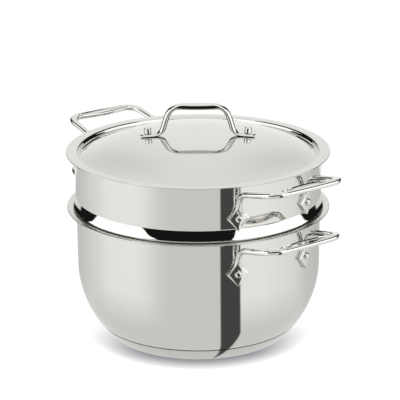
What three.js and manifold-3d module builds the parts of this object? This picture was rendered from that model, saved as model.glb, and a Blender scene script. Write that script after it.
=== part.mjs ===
// Stacking steamer pot: a pot with a clad base, a perforated steamer insert and an inset lid.
// Millimetres, +Z up. The origin is under the middle of the base and the side handles lie along X.

import * as THREE from 'three';
import { mergeVertices } from 'three/addons/utils/BufferGeometryUtils.js';
import Module from 'manifold-3d';

const wasm = await Module();
wasm.setup();

// Fits and facets
const FIT_GAP = 0.3; // clearance between two pieces that touch
const SIDES = 36; // facets round each vessel
const ROD_SIDES = 8; // facets round a cast section
const RIVET_SIDES = 8;
const BEND_STEPS = 2; // facets along a small bend in a sheet
const CAST_SQUARENESS = 3; // 2 is an ellipse, more is squarer
const TIP_HALF = 0.6; // half width left at the tip of a cast pad or ear

// Pot
const POT_HEIGHT = 132.5; // resting plane to the top of the lip
const POT_RADIUS = 121.5; // outside of the straight wall
const POT_WALL = 1.2;
const POT_LIP = 9.3; // wall to the lip's edge
const POT_LIP_BEND = 3.3; // under the lip
const BELLY_START = 74.7; // height where the wall begins to round in, down to the foot
const BELLY_RADIUS = 100.7;
const BELLY_STEPS = 4;

// Clad base
const BASE_HEIGHT = 15.3; // resting plane to the seam
const BASE_EDGE = 3; // rounding of the foot
const CAP_STEPS = 2;
const CAP_WALL = 0.8;
const CORE_THICKNESS = 5.5;
const CORE_INSET = 2.5; // from the foot's edge to the core's

// Steamer insert
const INSERT_RISE = 55.3; // top of the pot's lip to the top of the insert's lip
const INSERT_STEP = 0.9; // how far the insert's wall stands out past the pot's
const INSERT_WALL = 1;
const INSERT_LIP = 6; // wall to the lip's edge
const INSERT_LIP_BEND = 2;
const BEAD_HEIGHT = 12.3; // flared band above the pot's lip
const BEAD_FLARE = 3.4; // how far the band stands out at its foot
const BEAD_WAIST = 0.45; // how far its middle is drawn in from a straight flare
const BEAD_CURL = 1.6;
const NECK_PLAY = 1.8; // between the insert's neck and the pot's wall
const NECK_DEPTH = 24; // how far the neck drops into the pot
const NECK_BEND = 2;
const NECK_CORNER = 12; // rounding between neck and floor
const NECK_CORNER_STEPS = 3;
const HOLE_RADIUS = 3.6;
const HOLE_SIDES = 6;
const HOLE_PITCH = 23; // from ring to ring
const HOLE_MARGIN = 6; // least flat rim outside the last ring

// Lid
const LID_WALL = 1;
const LID_OVERHANG = 2.5; // flange past the insert's lip
const LID_PLAY = 0.6; // between the well's wall and the insert
const LID_ROOT_BEND = 2.8; // flange into well
const LID_TURN = 53; // degrees, how the lid was set down relative to the side handles
const WELL_DEPTH = 4.6; // flange down to the edge of the dome
const WELL_BEND = 1.1; // well's wall into dome
const WELL_DRAFT = 1.2; // how far the well's wall leans in
const DOME_RISE = 14.4; // crown above the flange
const DOME_POWER = 2.8; // 2 is a parabola, more is flatter on top and steeper at the edge
const DOME_STEPS = 6;

// Side handles
const PAD_SPACING = 81.6; // rivet to rivet
const RIVET_DROP = 32.5; // lip to rivet
const PAD_HALF_WIDTH = 11.3;
const PAD_FOOT = 12.3; // rivet to lower tip
const PAD_HEAD = 15; // rivet to the top of the spade, where it has become the stem
const PAD_THICKNESS = 3.4;
const STEM_HALF = 3; // half width of the stem
const ROD_HALF = 2.8; // half thickness of stem, arm and grip
const ARM_HALF = 3.6; // half width of the arm
const GRIP_HALF = 6.8; // half width of the grip at its middle
const GRIP_END_HALF = 5.2;
const GRIP_LENGTH = 89; // outside, corner to corner
const GRIP_RISE = 2.4; // lip up to the middle of the grip
const GRIP_CORNER = 11;
const HANDLE_REACH = 52; // wall to the outer edge of the grip
const ARM_DROP = 7.8; // lip down to the arm where it turns to its pad
const ARM_STAND_OFF = 6.5; // wall to the arm's middle at that turn
const ARM_BEND = 9; // length of that turn on either side of its corner
const STEM_BEND = 5; // length of the stem's turn on to its pad
const DISH_LENGTH = 62; // thumb dish in the grip
const DISH_WIDTH = 9;
const DISH_DEPTH = 1.2;
const DISH_SIDES = 10;

// Lid handle
const LOOP_HEIGHT = 46; // flange to the top of the bar
const LOOP_WIDTH = 60.8; // outside, at the bar
const LOOP_SPLAY = 8.2; // how far each leg leans out towards its foot
const LOOP_CORNER = 12;
const FOOT_BEND = 7;
const BAR_MIDDLE_HALF_DEPTH = 5.4; // half depth of the bar at its middle
const BAR_HALF_DEPTH = 4.2; // and of the legs
const BAR_HALF = 2.9;
const EAR_LENGTH = 13.5; // foot of the leg to the rivet
const EAR_HALF_WIDTH = 7;
const EAR_THICKNESS = 3;
const EAR_END = 8; // rivet to the ear's tip

// Rivets
const SHANK_RADIUS = 2.5;
const HEAD_RADIUS = 3.5;
const SIDE_HEAD_HEIGHT = 2.2;
const SIDE_HEAD_BEND = 2.1;
const LID_HEAD_HEIGHT = 5.5;
const LID_HEAD_BEND = 1.2;
const TAIL_RADIUS = 5;
const TAIL_HEIGHT = 1.2;
const TAIL_GAP = 0.7; // under the flat tail, which meets a curved wall

// Radii that follow from these
const potLipRadius = POT_RADIUS + POT_LIP;
const insertRadius = POT_RADIUS + INSERT_STEP;
const insertLipRadius = insertRadius + INSERT_LIP;
const lidRadius = insertLipRadius + LID_OVERHANG;
const neckRadius = POT_RADIUS - POT_WALL - NECK_PLAY;
const holeRings = Math.floor((neckRadius - NECK_CORNER - HOLE_MARGIN - HOLE_RADIUS) / HOLE_PITCH);
const loopFoot = LOOP_WIDTH / 2 - BAR_HALF + LOOP_SPLAY;
const earRivet = loopFoot + EAR_LENGTH;
const earReach = earRivet + EAR_END;

// Finishes
const POLISHED_STEEL = { color: 0xd9d7d2, roughness: 0.08, metalness: 1 };
const BASE_STEEL = { color: 0xb9b7b2, roughness: 0.2, metalness: 1 };
const CAST_STEEL = { color: 0xdedcd8, roughness: 0.12, metalness: 1 };
const ALUMINIUM = { color: 0xb4b7bb, roughness: 0.4, metalness: 1 };

// Helpers: sheets, revolves and lofts

// Corners [r, z, bend, steps] joined by lines, each bend an arc of that radius
function sheetPath(corners) {
  const points = [];
  corners.forEach(([r, z, bend = 0, steps = 1], i) => {
    const corner = new THREE.Vector2(r, z);
    if (!bend) {
      points.push(corner);
      return;
    }
    const back = new THREE.Vector2(corners[i - 1][0], corners[i - 1][1]).sub(corner).normalize();
    const ahead = new THREE.Vector2(corners[i + 1][0], corners[i + 1][1]).sub(corner).normalize();
    const half = Math.acos(back.dot(ahead)) / 2;
    const bisector = back.clone().add(ahead).normalize();
    const centre = corner.clone().addScaledVector(bisector, bend / Math.sin(half));
    const start = corner.clone().addScaledVector(back, bend / Math.tan(half));
    const sweep = (Math.PI - 2 * half) * Math.sign(ahead.cross(back));
    for (let k = 0; k <= steps; k++) {
      points.push(start.clone().rotateAround(centre, sweep * k / steps));
    }
  });
  return points;
}

// The same path moved sideways, to the left of its direction for a positive distance
function offsetPath(path, distance) {
  const normals = path.slice(1).map((point, i) => {
    const along = point.clone().sub(path[i]).normalize();
    return new THREE.Vector2(-along.y, along.x);
  });
  return path.map((point, i) => {
    if (point.x === 0) return new THREE.Vector2(0, point.y + distance);
    const before = normals[Math.max(i - 1, 0)];
    const after = normals[Math.min(i, normals.length - 1)];
    const mitre = before.clone().add(after).normalize();
    return point.clone().addScaledVector(mitre, distance / mitre.dot(before));
  });
}

// A closed body from a geometry, ready for cutting and joining
function solidOf(geometry) {
  const bare = new THREE.BufferGeometry();
  bare.setAttribute('position', geometry.getAttribute('position'));
  bare.setIndex(geometry.getIndex());
  const merged = mergeVertices(bare, 1e-4);
  const index = merged.getIndex().array;
  const triangles = [];
  for (let i = 0; i < index.length; i += 3) {
    const [a, b, c] = index.slice(i, i + 3);
    if (a !== b && b !== c && c !== a) triangles.push(a, b, c);
  }
  const vertProperties = new Float32Array(merged.getAttribute('position').array);
  const triVerts = new Uint32Array(triangles);
  return new wasm.Manifold(new wasm.Mesh({ numProp: 3, vertProperties, triVerts }));
}

function geometryOf(solid) {
  const { vertProperties, triVerts } = solid.getMesh();
  const geometry = new THREE.BufferGeometry();
  geometry.setAttribute('position', new THREE.BufferAttribute(new Float32Array(vertProperties), 3));
  geometry.setIndex(new THREE.BufferAttribute(new Uint32Array(triVerts), 1));
  geometry.computeVertexNormals();
  return geometry;
}

function part(name, solid, finish) {
  const mesh = new THREE.Mesh(geometryOf(solid), new THREE.MeshStandardMaterial(finish));
  mesh.name = name;
  return mesh;
}

// A body of revolution about Z, from a profile that starts and ends on the axis
function revolve(profile, sides = SIDES) {
  const rising = THREE.ShapeUtils.area(profile) < 0 ? [...profile].reverse() : profile;
  return solidOf(new THREE.LatheGeometry(rising, sides).rotateX(Math.PI / 2));
}

// A drawn sheet: the path is one face, and the wall lies to its left
function sheetSolid(path, wall) {
  return revolve([...path, ...offsetPath(path, wall).reverse()]);
}

// The space on the left of a face and out to the fit gap, closed at the level of the face's end
function spaceBehind(path, gap, level) {
  const face = offsetPath(path, gap);
  const rim = face[face.length - 1];
  return revolve([...face, new THREE.Vector2(rim.x, level), new THREE.Vector2(0, level)]);
}

// A loft through rings of equal count, closed by a fan at each end
function loft(rings) {
  const count = rings[0].length;
  const last = (rings.length - 1) * count;
  const index = [];
  for (let first = 0; first < last; first += count) {
    for (let k = 0; k < count; k++) {
      const a = first + k;
      const b = first + (k + 1) % count;
      index.push(a, b, a + count, b, b + count, a + count);
    }
  }
  for (let k = 1; k + 1 < count; k++) {
    index.push(0, k + 1, k, last, last + k, last + k + 1);
  }
  const geometry = new THREE.BufferGeometry().setFromPoints(rings.flat());
  geometry.setIndex(index);
  return solidOf(geometry);
}

// One ring of a cast section: a rounded flat, square to its path and thick along its face direction
function castRing(centre, along, face, halfWidth, halfThickness) {
  const side = face.clone().cross(along);
  const flatten = (value) => Math.sign(value) * Math.abs(value) ** (2 / CAST_SQUARENESS);
  const ring = [];
  for (let k = 0; k < ROD_SIDES; k++) {
    const angle = 2 * Math.PI * (k + 0.5) / ROD_SIDES;
    const point = centre.clone();
    point.addScaledVector(side, flatten(Math.cos(angle)) * halfWidth);
    point.addScaledVector(face, flatten(Math.sin(angle)) * halfThickness);
    ring.push(point);
  }
  return ring;
}

// Rings along a middle line, in stretches that each know their half width and half thickness along the way.
// A stretch's face turns from one direction to another, kept square to the line.
function castRings(stretches) {
  const rings = [];
  stretches.forEach(({ curve, steps, halfWidth, halfThickness, facing }, stretch) => {
    for (let k = stretch ? 1 : 0; k <= steps; k++) {
      const t = k / steps;
      const centre = curve.getPoint(t);
      const along = curve.getTangent(t);
      const face = new THREE.Vector3().lerpVectors(facing[0], facing[1], t);
      face.addScaledVector(along, -face.dot(along)).normalize();
      rings.push(castRing(centre, along, face, halfWidth(t, centre), halfThickness(t, centre)));
    }
  });
  return rings;
}

const line = (from, to) => new THREE.LineCurve3(from, to);
const bend = (from, by, to) => new THREE.QuadraticBezierCurve3(from, by, to);
const taper = (from, to) => (t) => THREE.MathUtils.lerp(from, to, t);

// Rings of one half and their mirror image, in order from tip to tip
function mirrored(rings, mirror) {
  const otherHalf = rings.slice(1).reverse();
  return [...otherHalf.map((ring) => ring.map((point) => point.clone().multiply(mirror))), ...rings];
}

// A straight bore of a given length, centred on a point
function bore(centre, direction, length) {
  const radius = SHANK_RADIUS + FIT_GAP;
  const cutter = new THREE.CylinderGeometry(radius, radius, length, RIVET_SIDES);
  const upright = new THREE.Vector3(0, 1, 0);
  cutter.applyQuaternion(new THREE.Quaternion().setFromUnitVectors(upright, direction));
  cutter.translate(centre.x, centre.y, centre.z);
  return solidOf(cutter);
}

// Rivet along +Z: its head stands on z = 0, its upset tail lies behind the pieces that it clamps
function rivet(name, headHeight, headBend, clamped) {
  const tail = -clamped - TAIL_GAP;
  const head = FIT_GAP + headHeight;
  const profile = sheetPath([
    [0, tail - TAIL_HEIGHT],
    [TAIL_RADIUS - TAIL_HEIGHT / 2, tail - TAIL_HEIGHT],
    [TAIL_RADIUS, tail],
    [SHANK_RADIUS, tail],
    [SHANK_RADIUS, FIT_GAP],
    [HEAD_RADIUS, FIT_GAP],
    [HEAD_RADIUS, head, headBend, BEND_STEPS],
    [0, head],
  ]);
  return part(name, revolve(profile, RIVET_SIDES), CAST_STEEL);
}

function aim(mesh, position, direction) {
  mesh.position.copy(position);
  mesh.quaternion.setFromUnitVectors(new THREE.Vector3(0, 0, 1), direction);
  return mesh;
}

// Side handles: on a vessel's wall, with z = 0 on the top of its lip

const PAD_FACE = PAD_THICKNESS + FIT_GAP; // wall to the front of a pad

// Direction out through a pad: sign is +1 or -1 for the two pads of the handle that points along +X
function padDirection(wall, sign) {
  const angle = sign * Math.asin(PAD_SPACING / 2 / wall);
  return new THREE.Vector3(Math.cos(angle), Math.sin(angle), 0);
}

// Half width of the spade-shaped pad at a height above its rivet: straight sides below, ogee above
function padHalfWidth(rise) {
  if (rise < 0) return Math.max(PAD_HALF_WIDTH * (1 + rise / PAD_FOOT), TIP_HALF);
  const shrink = Math.max(1 - rise / PAD_HEAD, 0) ** 2;
  return STEM_HALF + (PAD_HALF_WIDTH - STEM_HALF) * shrink;
}

// The handle from the middle of its grip to one pad's tip
function halfHandleRings(wall) {
  const outward = padDirection(wall, 1);
  const over = (standOff, z) => outward.clone().multiplyScalar(wall + standOff).setZ(z);
  const outerEdge = wall + HANDLE_REACH;
  const gripMiddle = new THREE.Vector3(outerEdge - GRIP_HALF, 0, GRIP_RISE);
  const corner = new THREE.Vector3(outerEdge - GRIP_END_HALF, GRIP_LENGTH / 2 - ARM_HALF, GRIP_RISE);
  const turn = over(ARM_STAND_OFF, -ARM_DROP);
  const padTop = over(PAD_THICKNESS / 2, -RIVET_DROP + PAD_HEAD / 2);
  const padFlat = over(PAD_THICKNESS / 2, -RIVET_DROP + HEAD_RADIUS);
  const rivetLevel = over(PAD_THICKNESS / 2, -RIVET_DROP);
  const padTip = over(PAD_THICKNESS / 2, -RIVET_DROP - PAD_FOOT);
  const inward = turn.clone().sub(corner).normalize();
  const down = padTop.clone().sub(turn).normalize();
  const gripEnd = corner.clone().sub(new THREE.Vector3(0, GRIP_CORNER, 0));
  const gripEase = gripMiddle.clone().setY(gripEnd.y / 2);
  const armStart = corner.clone().addScaledVector(inward, GRIP_CORNER);
  const armEnd = turn.clone().addScaledVector(inward, -ARM_BEND);
  const stemTop = turn.clone().addScaledVector(down, ARM_BEND);
  const stemFoot = padTop.clone().addScaledVector(down, -STEM_BEND);

  const up = new THREE.Vector3(0, 0, 1);
  const upAndIn = inward.clone().setZ(0).normalize().add(up);
  const toWall = up.clone().sub(outward);
  const crown = (t) => THREE.MathUtils.lerp(GRIP_HALF, GRIP_END_HALF, t * t);
  const cornerWidth = taper(GRIP_END_HALF, ARM_HALF);
  const turnWidth = taper(ARM_HALF, STEM_HALF);
  const spade = (t, { z }) => padHalfWidth(z + RIVET_DROP);
  const plain = () => ROD_HALF;
  const flattened = (t, { z }) => {
    const stemShare = THREE.MathUtils.smoothstep(z + RIVET_DROP, HEAD_RADIUS, PAD_HEAD);
    return THREE.MathUtils.lerp(PAD_FACE - PAD_THICKNESS / 2, ROD_HALF, stemShare);
  };
  const grip = { halfThickness: plain, facing: [up, up] };
  const arm = { halfThickness: plain, facing: [upAndIn, upAndIn] };
  const pad = { halfWidth: spade, halfThickness: flattened, facing: [toWall, toWall] };
  return castRings([
    { ...grip, curve: bend(gripMiddle, gripEase, gripEnd), steps: 3, halfWidth: crown },
    { ...grip, curve: bend(gripEnd, corner, armStart), steps: 4, halfWidth: cornerWidth },
    { ...arm, curve: line(armStart, armEnd), steps: 1, halfWidth: () => ARM_HALF },
    { ...arm, curve: bend(armEnd, turn, stemTop), steps: 4, halfWidth: turnWidth },
    { ...pad, curve: line(stemTop, stemFoot), steps: 1, facing: [upAndIn, toWall] },
    { ...pad, curve: bend(stemFoot, padTop, padFlat), steps: 4 },
    { ...pad, curve: line(padFlat, rivetLevel), steps: 1 },
    { ...pad, curve: line(rivetLevel, padTip), steps: 1 },
  ]);
}

// Shallow leaf-shaped hollow in the top of the grip, where the thumb lies
function thumbDish(wall) {
  const lift = 2 * DISH_DEPTH; // ellipsoid's middle above the grip's top
  const height = lift + DISH_DEPTH;
  const widen = 1 / Math.sqrt(1 - (lift / height) ** 2);
  const dish = new THREE.SphereGeometry(1, DISH_SIDES, DISH_SIDES);
  dish.scale(widen * DISH_WIDTH / 2, widen * DISH_LENGTH / 2, height);
  dish.translate(wall + HANDLE_REACH - GRIP_HALF, 0, ROD_HALF + GRIP_RISE + lift);
  return solidOf(dish);
}

function sideHandle(wall, wallSpace) {
  const cast = loft(mirrored(halfHandleRings(wall), new THREE.Vector3(1, -1, 1)));
  let handle = cast.subtract(wallSpace).subtract(thumbDish(wall));
  for (const sign of [1, -1]) {
    const direction = padDirection(wall, sign);
    const centre = direction.clone().multiplyScalar(wall).setZ(-RIVET_DROP);
    handle = handle.subtract(bore(centre, direction, 4 * PAD_FACE));
  }
  return handle;
}

// Rivet holes through a vessel's wall, for the handles on both sides of it
function drillWall(shell, wall, lip) {
  let drilled = shell;
  for (const side of [1, -1]) {
    for (const sign of [1, -1]) {
      const direction = padDirection(wall, sign).multiplyScalar(side);
      const centre = direction.clone().multiplyScalar(wall).setZ(lip - RIVET_DROP);
      drilled = drilled.subtract(bore(centre, direction, 4 * PAD_FACE));
    }
  }
  return drilled;
}

// Both handles of a vessel with their rivets, each side a group turned about the vessel's axis
function addHandles(vessel, prefix, wall, sheet, lip, wallSpace) {
  const sides = [
    { name: 'right', turn: 0, pads: { rear: 1, front: -1 } },
    { name: 'left', turn: Math.PI, pads: { front: 1, rear: -1 } },
  ];
  for (const { name, turn, pads } of sides) {
    const group = new THREE.Group();
    group.rotation.z = turn;
    group.position.z = lip;
    group.add(part(`${prefix}_handle_${name}`, sideHandle(wall, wallSpace), CAST_STEEL));
    for (const [end, sign] of Object.entries(pads)) {
      const direction = padDirection(wall, sign);
      const seat = direction.clone().multiplyScalar(wall + PAD_FACE).setZ(-RIVET_DROP);
      const fastener = `${prefix}_rivet_${name}_${end}`;
      const clamped = PAD_FACE + sheet;
      group.add(aim(rivet(fastener, SIDE_HEAD_HEIGHT, SIDE_HEAD_BEND, clamped), seat, direction));
    }
    vessel.add(group);
  }
}

// Pot with its clad base

const floorHeight = CAP_WALL + FIT_GAP + CORE_THICKNESS + FIT_GAP;
const underCap = CAP_WALL + FIT_GAP; // how far the pot's foot lies inside the cap's face

// Corners of the belly's arc from one height up to another, or of an arc that far inside it
function bellyArc(low, high, inside, steps) {
  const radius = BELLY_RADIUS - inside;
  const start = Math.asin((BELLY_START - low) / radius);
  const end = Math.asin((BELLY_START - high) / radius);
  const corners = [];
  for (let k = 0; k <= steps; k++) {
    const angle = THREE.MathUtils.lerp(start, end, k / steps);
    const r = POT_RADIUS - BELLY_RADIUS + radius * Math.cos(angle);
    corners.push([r, BELLY_START - radius * Math.sin(angle)]);
  }
  return corners;
}

// Outer face from the middle of the floor to the lip
function potPath() {
  return sheetPath([
    [0, floorHeight],
    ...bellyArc(floorHeight, BASE_HEIGHT, underCap, CAP_STEPS),
    ...bellyArc(BASE_HEIGHT, BELLY_START, 0, BELLY_STEPS),
    [POT_RADIUS, POT_HEIGHT - POT_WALL, POT_LIP_BEND, BEND_STEPS],
    [potLipRadius, POT_HEIGHT - POT_WALL],
  ]);
}

// Outer face from the middle of the foot to the rim under the seam, on the belly's own arc
function capPath() {
  const rimRise = CAP_WALL * (BELLY_START - BASE_HEIGHT) / BELLY_RADIUS; // rim's inner edge over its outer
  const [[footRadius], ...side] = bellyArc(0, BASE_HEIGHT - FIT_GAP - rimRise, 0, CAP_STEPS);
  return sheetPath([[0, 0], [footRadius, 0, BASE_EDGE, BEND_STEPS], ...side]);
}

function coreDisc() {
  const [[footRadius]] = bellyArc(0, BASE_HEIGHT, 0, CAP_STEPS);
  const radius = footRadius - CORE_INSET;
  const disc = new THREE.CylinderGeometry(radius, radius, CORE_THICKNESS, SIDES);
  disc.rotateX(Math.PI / 2).translate(0, 0, CAP_WALL + FIT_GAP + CORE_THICKNESS / 2);
  return solidOf(disc);
}

function buildPot() {
  const pot = new THREE.Group();
  const shell = sheetSolid(potPath(), POT_WALL);
  pot.add(part('pot_shell', drillWall(shell, POT_RADIUS, POT_HEIGHT), POLISHED_STEEL));
  pot.add(part('base_core', coreDisc(), ALUMINIUM));
  pot.add(part('base_cap', sheetSolid(capPath(), CAP_WALL), BASE_STEEL));
  const lipUnderside = POT_HEIGHT - POT_WALL;
  const wallSpace = spaceBehind(potPath(), -FIT_GAP, lipUnderside).translate([0, 0, -POT_HEIGHT]);
  addHandles(pot, 'pot', POT_RADIUS, POT_WALL, POT_HEIGHT, wallSpace);
  return pot;
}

// Steamer insert, with z = 0 on the top of the pot's lip

// Outer face from the middle of the floor to the lip
function insertPath() {
  return sheetPath([
    [0, -NECK_DEPTH],
    [neckRadius, -NECK_DEPTH, NECK_CORNER, NECK_CORNER_STEPS],
    [neckRadius, FIT_GAP, NECK_BEND, BEND_STEPS],
    [insertRadius + BEAD_FLARE, FIT_GAP, BEAD_CURL, BEND_STEPS],
    [insertRadius + BEAD_FLARE / 2 - BEAD_WAIST, BEAD_HEIGHT / 2],
    [insertRadius, BEAD_HEIGHT],
    [insertRadius, INSERT_RISE - INSERT_WALL, INSERT_LIP_BEND, BEND_STEPS],
    [insertLipRadius, INSERT_RISE - INSERT_WALL],
  ]);
}

// Perforated floor: rings of holes, six more in each ring than in the one inside it
function perforate(shell) {
  let perforated = shell;
  for (let ring = 0; ring <= holeRings; ring++) {
    const count = Math.max(6 * ring, 1);
    for (let k = 0; k < count; k++) {
      const hole = new THREE.CylinderGeometry(HOLE_RADIUS, HOLE_RADIUS, 4 * INSERT_WALL, HOLE_SIDES);
      hole.rotateX(Math.PI / 2).translate(ring * HOLE_PITCH, 0, -NECK_DEPTH);
      hole.rotateZ(2 * Math.PI * k / count);
      perforated = perforated.subtract(solidOf(hole));
    }
  }
  return perforated;
}

function buildInsert() {
  const insert = new THREE.Group();
  const shell = perforate(sheetSolid(insertPath(), INSERT_WALL));
  insert.add(part('insert_shell', drillWall(shell, insertRadius, INSERT_RISE), POLISHED_STEEL));
  const lipUnderside = INSERT_RISE - INSERT_WALL;
  const wallSpace = spaceBehind(insertPath(), -FIT_GAP, lipUnderside).translate([0, 0, -INSERT_RISE]);
  addHandles(insert, 'insert', insertRadius, INSERT_WALL, INSERT_RISE, wallSpace);
  insert.position.z = POT_HEIGHT;
  return insert;
}

// Lid, with z = 0 on the top of its flange

const wellRadius = insertRadius - INSERT_WALL - LID_PLAY - LID_WALL;
const domeRadius = wellRadius - WELL_DRAFT;
const domeFall = DOME_RISE + WELL_DEPTH; // crown to the edge of the dome

// The dome falls with a power of the radius, from its crown to the foot of the well's wall
function domeHeight(r) {
  return DOME_RISE - domeFall * (r / domeRadius) ** DOME_POWER;
}

function domeCorners() {
  const corners = [];
  for (let k = 0; k <= DOME_STEPS; k++) {
    const r = (domeRadius - 2 * WELL_BEND) * k / DOME_STEPS;
    corners.push([r, domeHeight(r)]);
  }
  return corners;
}

// Upper face from the crown to the flange's edge
function lidPath() {
  return sheetPath([
    ...domeCorners(),
    [domeRadius, -WELL_DEPTH, WELL_BEND, BEND_STEPS],
    [wellRadius, 0, LID_ROOT_BEND, BEND_STEPS],
    [lidRadius, 0],
  ]);
}

// Out through an ear, square to the dome at its rivet: sign is +1 or -1 for the two ears
function earDirection(sign) {
  const slope = DOME_POWER * domeFall / domeRadius * (earRivet / domeRadius) ** (DOME_POWER - 1);
  return new THREE.Vector3(sign * slope, 0, 1).normalize();
}

function earPoint(r) {
  return new THREE.Vector3(r, 0, domeHeight(r) + FIT_GAP + EAR_THICKNESS / 2);
}

// Loop from the middle of its bar to one ear's tip, in the plane of X and Z
function halfLoopRings() {
  const barLevel = LOOP_HEIGHT - BAR_HALF;
  const legTop = new THREE.Vector3(LOOP_WIDTH / 2 - BAR_HALF, 0, barLevel);
  const foot = earPoint(loopFoot);
  const tip = earPoint(earReach);
  const down = foot.clone().sub(legTop).normalize();
  const out = tip.clone().sub(foot).normalize();
  const barMiddle = new THREE.Vector3(0, 0, barLevel);
  const barEnd = legTop.clone().sub(new THREE.Vector3(LOOP_CORNER, 0, 0));
  const legStart = legTop.clone().addScaledVector(down, LOOP_CORNER);
  const legEnd = foot.clone().addScaledVector(down, -FOOT_BEND);
  const earStart = foot.clone().addScaledVector(out, FOOT_BEND);
  const upAndOut = new THREE.Vector3(1, 0, 1);
  const bar = {
    halfWidth: () => BAR_HALF_DEPTH,
    halfThickness: () => BAR_HALF,
    facing: [upAndOut, upAndOut],
  };
  const crown = (t) => THREE.MathUtils.lerp(BAR_MIDDLE_HALF_DEPTH, BAR_HALF_DEPTH, t * t);
  const plate = EAR_THICKNESS / 2;
  const roundEnd = (t) => Math.max(EAR_HALF_WIDTH * Math.sqrt(1 - t * t), TIP_HALF);
  return castRings([
    { ...bar, curve: line(barMiddle, barEnd), steps: 2, halfWidth: crown },
    { ...bar, curve: bend(barEnd, legTop, legStart), steps: 4 },
    { ...bar, curve: line(legStart, legEnd), steps: 1 },
    {
      ...bar,
      curve: bend(legEnd, foot, earStart),
      steps: 4,
      halfWidth: taper(BAR_HALF_DEPTH, EAR_HALF_WIDTH),
      halfThickness: taper(BAR_HALF, plate),
    },
    { ...bar, curve: line(earStart, tip), steps: 6, halfWidth: roundEnd, halfThickness: () => plate },
  ]);
}

function buildLid() {
  const lid = new THREE.Group();
  let shell = sheetSolid(lidPath(), -LID_WALL);
  const underDome = spaceBehind(sheetPath(domeCorners()), FIT_GAP, -WELL_DEPTH);
  let loop = loft(mirrored(halfLoopRings(), new THREE.Vector3(-1, 1, 1))).subtract(underDome);
  for (const [end, sign] of Object.entries({ right: 1, left: -1 })) {
    const direction = earDirection(sign);
    const seat = new THREE.Vector3(sign * earRivet, 0, domeHeight(earRivet));
    shell = shell.subtract(bore(seat, direction, 6 * EAR_THICKNESS));
    loop = loop.subtract(bore(seat, direction, 6 * EAR_THICKNESS));
    const earTop = seat.clone().addScaledVector(direction, FIT_GAP + EAR_THICKNESS);
    const clamped = FIT_GAP + EAR_THICKNESS + LID_WALL;
    lid.add(aim(rivet(`lid_rivet_${end}`, LID_HEAD_HEIGHT, LID_HEAD_BEND, clamped), earTop, direction));
  }
  lid.add(part('lid_shell', shell, POLISHED_STEEL));
  lid.add(part('lid_handle', loop, CAST_STEEL));
  lid.rotation.z = THREE.MathUtils.degToRad(LID_TURN);
  lid.position.z = POT_HEIGHT + INSERT_RISE + FIT_GAP + LID_WALL;
  return lid;
}

const steamerPot = new THREE.Group();
steamerPot.name = 'steamer_pot';
steamerPot.add(buildPot(), buildInsert(), buildLid());

export default steamerPot;
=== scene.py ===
# %% [markdown]
# # A polished steamer pot
# The pot is three vessels in a stack: a pot with a clad base, a steamer insert and an inset lid.
# All of it is stainless steel, so the lesson has two halves. The first half makes very smooth surfaces,
# because a mirror shows every facet. The second half builds the small studio that the mirror reflects.
# Shapes are worked out in millimetres with numpy, and become metres as they enter Blender.

import math

import bmesh
import bpy
import numpy as np
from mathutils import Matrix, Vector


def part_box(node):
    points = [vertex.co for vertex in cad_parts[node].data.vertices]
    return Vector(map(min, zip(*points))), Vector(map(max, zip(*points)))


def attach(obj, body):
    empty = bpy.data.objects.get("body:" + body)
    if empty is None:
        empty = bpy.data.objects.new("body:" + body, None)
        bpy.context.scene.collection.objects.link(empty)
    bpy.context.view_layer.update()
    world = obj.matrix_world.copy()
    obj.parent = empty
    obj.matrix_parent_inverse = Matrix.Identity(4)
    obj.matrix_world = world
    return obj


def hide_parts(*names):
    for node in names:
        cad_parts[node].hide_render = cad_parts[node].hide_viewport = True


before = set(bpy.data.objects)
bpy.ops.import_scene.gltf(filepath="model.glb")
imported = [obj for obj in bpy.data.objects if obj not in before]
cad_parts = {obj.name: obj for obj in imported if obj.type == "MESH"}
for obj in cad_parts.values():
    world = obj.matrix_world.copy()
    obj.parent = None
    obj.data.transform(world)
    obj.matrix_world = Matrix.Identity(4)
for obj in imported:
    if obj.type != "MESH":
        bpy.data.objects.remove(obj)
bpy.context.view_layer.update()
MM = 0.001

# %% [markdown]
# ## From arrays to meshes
# Every piece here is a grid: rows of points that run one way along the surface, and columns that run the
# other. The grid could be looped over in Python, but numpy gives all corner numbers at once. Where a row
# shrinks to one point, as on the axis of a lid, its doubled points are merged, so that the pole is closed.

# %% Grids and pieces
MERGE_DISTANCE = 2e-7
SHEET_CREASE = 35
CAST_CREASE = 50


def unit(vectors):
    """Each vector divided by its own length."""
    return vectors / np.linalg.norm(vectors, axis=-1, keepdims=True)


def grid_quads(rows, columns, closed=True):
    """Corner numbers of a grid's quads. A closed grid joins its last column to its first."""
    row = np.arange(rows - 1)[:, None]
    column = np.arange(columns if closed else columns - 1)[None, :]
    beside = (column + 1) % columns
    here, below = row * columns, (row + 1) * columns
    return np.stack([here + column, here + beside, below + beside, below + column], axis=-1).reshape(-1, 4)


def closed_grid(points):
    """Rows of points, each row a ring, as one list of points and the corner numbers of its quads."""
    return points.reshape(-1, 3), grid_quads(*points.shape[:2])


def outward(points, quads):
    """The quads with their faces out: as cones to the origin, the faces must hold a positive volume."""
    a, b, c, d = (points[quads[:, k]] for k in range(4))
    cones = np.einsum("ij,ij->i", a, np.cross(b, c) + np.cross(c, d))
    return quads if cones.sum() > 0 else quads[:, ::-1]


def add_layers(mesh, layers):
    """Named numbers on the points of a mesh."""
    for layer, values in layers.items():
        data = mesh.attributes.new(layer, "FLOAT", "POINT").data
        data.foreach_set("value", values.astype(np.float32).ravel())


def add_object(name, data):
    """A new object in the scene."""
    thing = bpy.data.objects.new(name, data)
    bpy.context.scene.collection.objects.link(thing)
    return thing


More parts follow.
